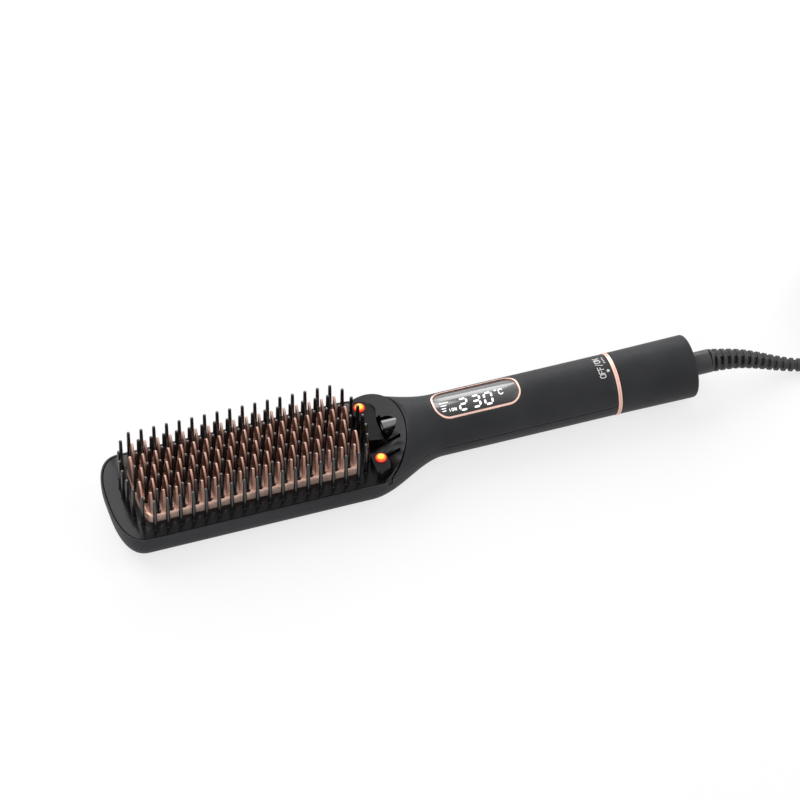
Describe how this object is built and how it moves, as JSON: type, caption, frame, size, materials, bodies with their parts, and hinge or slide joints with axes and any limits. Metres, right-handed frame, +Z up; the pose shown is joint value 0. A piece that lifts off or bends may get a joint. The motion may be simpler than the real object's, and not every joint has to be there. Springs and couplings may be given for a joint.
{
  "type": "hair straightener brush",
  "caption": "Hair straightener brush: heated plate of rose gold fins among black bristles, lit display, turning end dial, swivel cord with a coiled lead and two-pin plug.",
  "frame": {"origin": "middle of the bounding box's bottom face with the cord left out, on the table", "axes": "+X from the head to the cord, +Z up, bristles up"},
  "size_m": [0.4746, 0.0901, 0.037],
  "materials": {
    "case_plastic": "fine matte grain",
    "gloss_plastic": "polished black",
    "inner_plastic": "plain moulded",
    "plate_metal": "rose gold coated",
    "trim_metal": "polished rose gold",
    "nylon": "smooth black nylon",
    "window": "smoked clear plastic",
    "lamp": "lit amber",
    "board": "green laminate",
    "ceramic": "white ceramic",
    "steel": "plain",
    "brass": "plain",
    "nozzle_metal": "bright",
    "rubber": "soft matte"
  },
  "bodies": {
    "housing": {"lower_shell": "case_plastic", "upper_shell": "case_plastic", "front_bezel": "gloss_plastic", "ion_nozzle": "nozzle_metal", "ion_needle": "steel", "lamp_lenses": "lamp", "lamp_board": "board", "heating_plate": "plate_metal", "field_bristles": "nylon", "ring_bristles": "nylon", "heater_tray": "inner_plastic", "ceramic_heaters": "ceramic", "insulation_sheet": "inner_plastic", "heater_clamp": "steel", "thermal_fuse": "ceramic", "temperature_sensor": "ceramic", "display_window": "window", "display_trim": "trim_metal", "display_module": "inner_plastic", "main_board": "board", "relay_and_filter": "inner_plastic", "capacitor": "inner_plastic", "ion_generator": "inner_plastic", "trim_ring": "trim_metal", "retaining_clip": "steel", "tail_tube": "inner_plastic", "dial_sensor_board": "board", "detent_spring": "steel", "contact_brushes": "brass", "case_screws": "steel"},
    "dial": {"end_dial": "case_plastic", "dial_wiper": "brass"},
    "swivel": {"swivel_core": "case_plastic", "swivel_clip": "steel", "contact_rings": "brass", "strain_relief": "rubber", "cord_lead": "rubber", "cord_tail": "rubber", "cord_coil": "rubber", "plug_body": "rubber", "plug_pins": "nozzle_metal"}
  },
  "joints": [
    {"name": "dial_turn", "type": "hinge", "parent": "housing", "child": "dial", "pos_m": [0.09, 0, 0.0156], "axis": [1, 0, 0], "range_deg": [-30, 90]},
    {"name": "cord_swivel", "type": "hinge", "parent": "housing", "child": "swivel", "pos_m": [0.09, 0, 0.0156], "axis": [1, 0, 0], "continuous": true}
  ]
}
